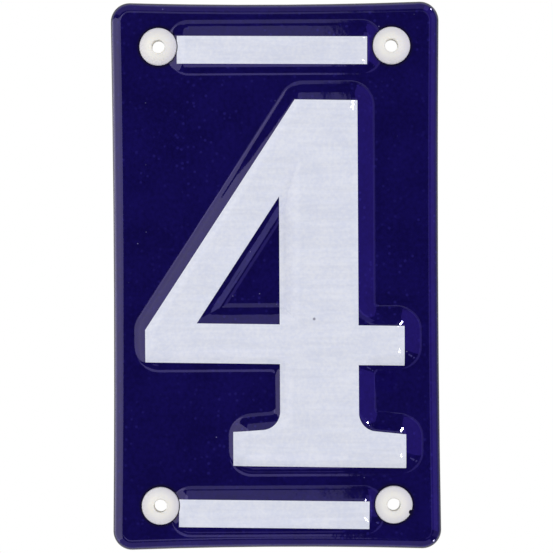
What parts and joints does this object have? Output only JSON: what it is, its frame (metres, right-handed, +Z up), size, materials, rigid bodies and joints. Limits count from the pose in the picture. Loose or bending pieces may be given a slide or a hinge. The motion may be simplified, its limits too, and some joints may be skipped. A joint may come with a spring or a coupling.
{
  "type": "house number plaque",
  "caption": "Upright enamelled steel plaque with an embossed white numeral between bars on a dark blue field, turned edges, a hollow back and bushed corner holes for wall screws.",
  "frame": {"origin": "on the wall plane, at the middle of the four screw holes", "axes": "+Z up the plaque, -Y out of the wall towards the viewer, +X to the viewer's right"},
  "size_m": [0.0902, 0.0071, 0.1506],
  "materials": {
    "blue_enamel": "glossy fired enamel",
    "white_enamel": "glossy fired enamel",
    "white_plastic": "smooth moulded"
  },
  "bodies": {
    "root": {"plate": "blue_enamel", "numeral_enamel": "white_enamel", "top_bar_enamel": "white_enamel", "bottom_bar_enamel": "white_enamel", "bushing_top_left": "white_plastic", "bushing_top_right": "white_plastic", "bushing_bottom_left": "white_plastic", "bushing_bottom_right": "white_plastic"}
  },
  "joints": []
}
